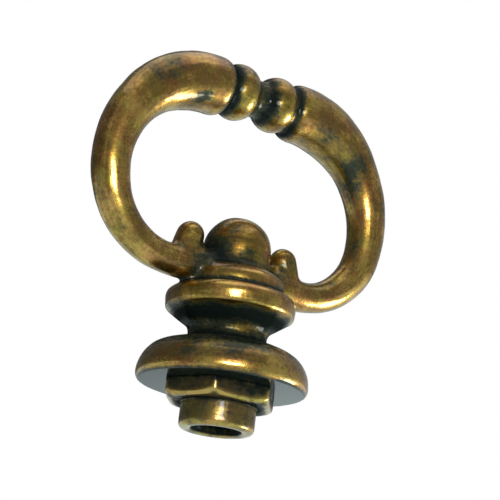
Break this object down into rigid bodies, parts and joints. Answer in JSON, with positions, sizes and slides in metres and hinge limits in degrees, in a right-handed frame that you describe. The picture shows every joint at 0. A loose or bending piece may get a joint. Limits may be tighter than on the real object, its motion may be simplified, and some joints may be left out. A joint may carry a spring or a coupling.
{
  "type": "mock key",
  "caption": "Ornamental mock key pull: open scrolled bow with a beaded crest on a ringed collar and round flange, and a tapped hexagon bush below for a screw through a drawer front.",
  "frame": {"origin": "centre of the flange's flat underside, where it seats on the drawer front, on the screw's axis", "axes": "+Z along the stem from the seat towards the bow, +X across the bow, which lies in the XZ plane"},
  "size_m": [0.033, 0.016, 0.0351],
  "materials": {
    "antique_brass": "cast brass, darkened, relieved on the high spots and lacquered",
    "bush_brass": "turned brass, darkened and lacquered"
  },
  "bodies": {
    "root": {"key_casting": "antique_brass", "threaded_bush": "bush_brass"}
  },
  "joints": []
}
